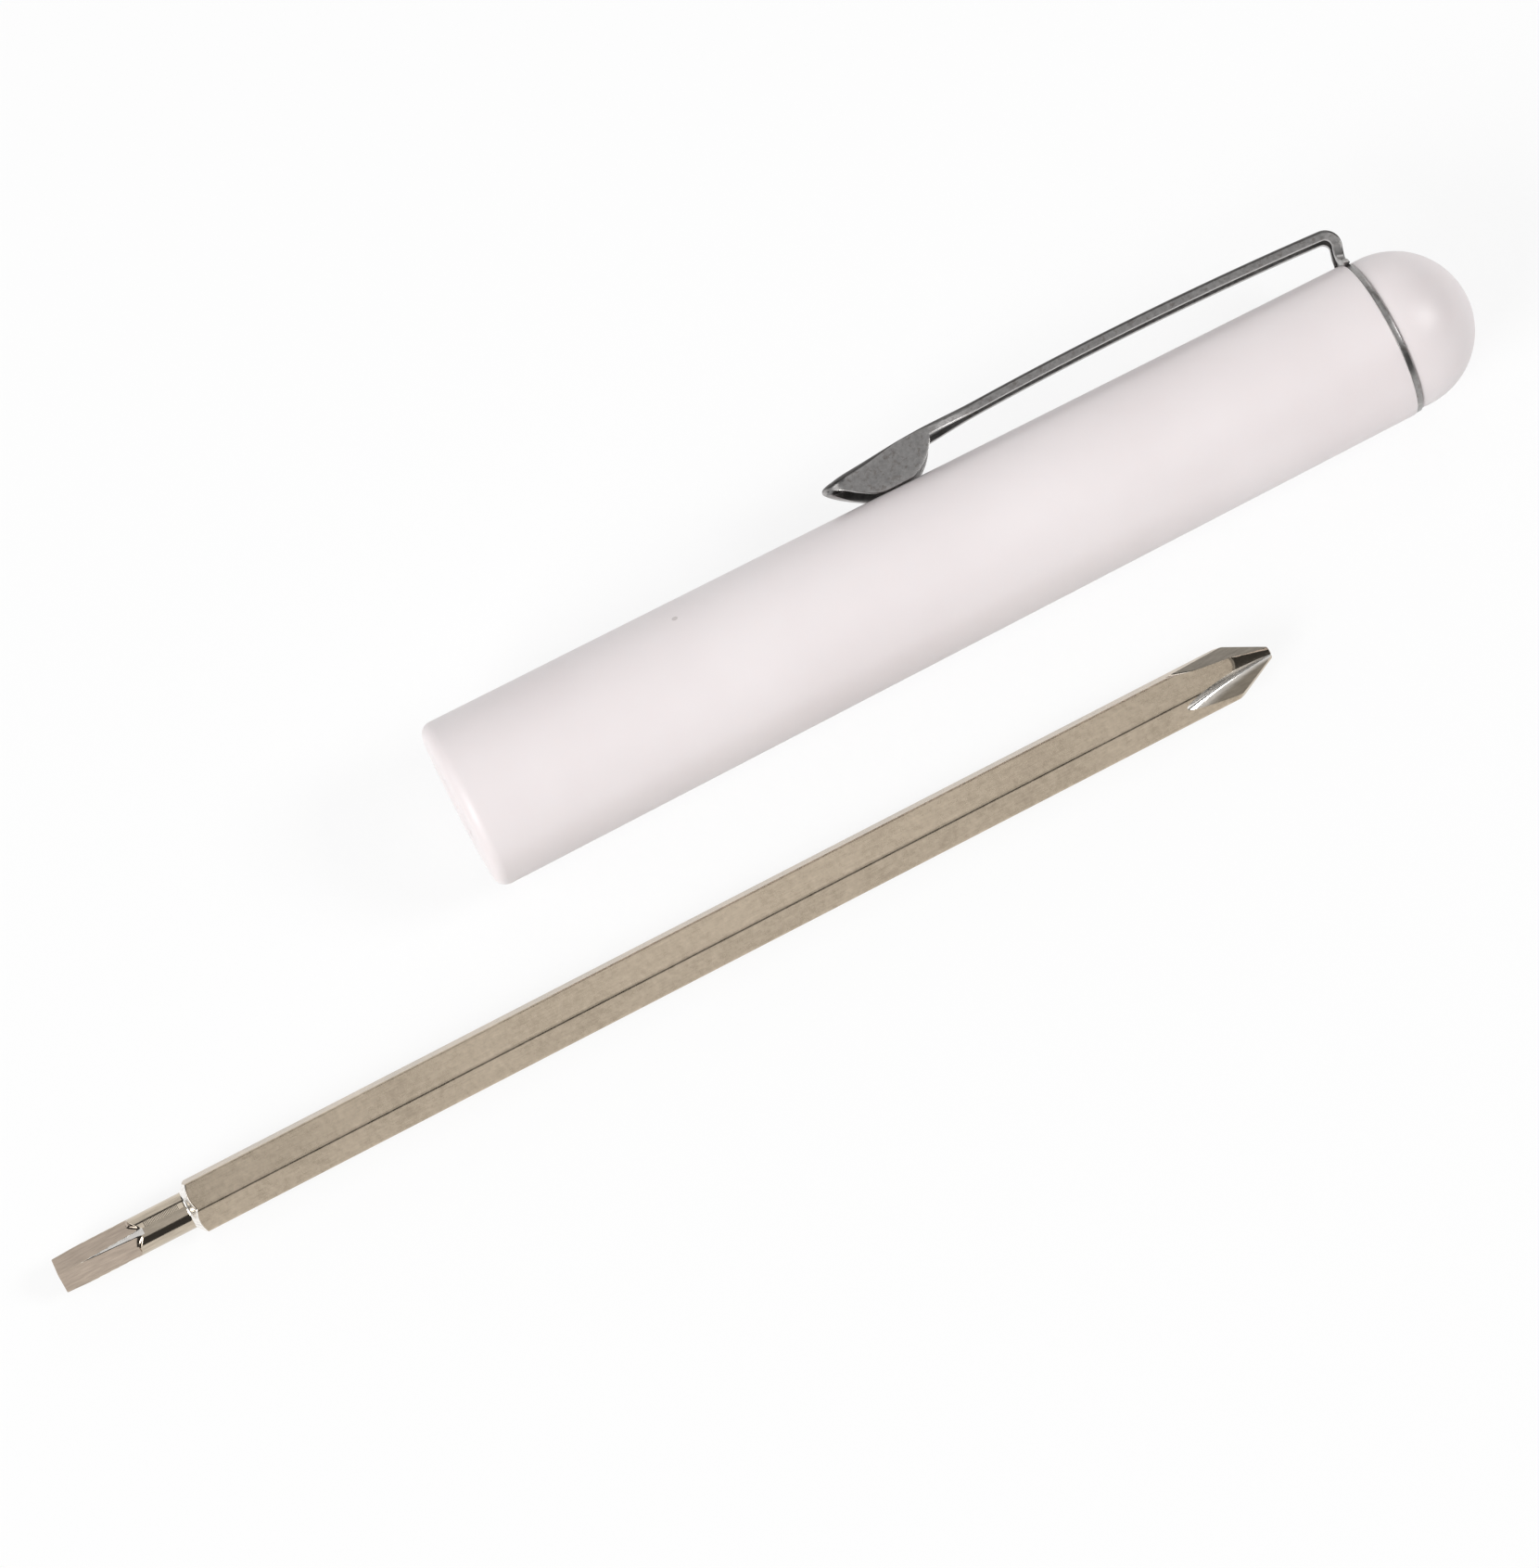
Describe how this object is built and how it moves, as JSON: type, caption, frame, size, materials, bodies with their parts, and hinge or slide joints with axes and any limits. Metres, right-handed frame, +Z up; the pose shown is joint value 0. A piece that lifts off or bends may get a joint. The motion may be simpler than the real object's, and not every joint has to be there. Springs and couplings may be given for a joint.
{
  "type": "pocket screwdriver",
  "caption": "Pocket screwdriver: tapered plastic handle with domed cap and sprung steel pocket clip, and a reversible hexagonal blade with Phillips and square tips lying beside it",
  "frame": {"origin": "Centre of the hexagonal socket's mouth, on the handle's axis and in the plane of the open end's face.", "axes": "+X runs along the handle, from the open end to the cap, and along the blade, from its square tip to its Phillips tip; +Z is up from the surface that the object lies on; +Y is away from the blade, towards the side where the clip lies."},
  "size_m": [0.1528, 0.0347, 0.0162],
  "materials": {
    "handle_plastic": "satin moulded, warm white",
    "clip_steel": "dull nickel plate",
    "blade_steel": "satin nickel plate, warm"
  },
  "bodies": {
    "handle": {"barrel": "handle_plastic", "end_cap": "handle_plastic", "clip_ring": "clip_steel"},
    "clip_arm": {"clip_arm": "clip_steel"},
    "blade": {"blade": "blade_steel"}
  },
  "joints": [
    {"name": "clip_flex", "type": "hinge", "parent": "handle", "child": "clip_arm", "pos_m": [0.09462, 0.00892, 0.00159], "axis": [-0.0057, 0.2334, -0.9724], "range_deg": [0, 4], "stiffness_Nm_per_rad": 7, "springref_deg": -0.29},
    {"name": "blade_slide", "type": "slide", "parent": "handle", "child": "blade", "axis": [1, 0, 0], "range_m": [-0.0712, 0.0163]}
  ]
}
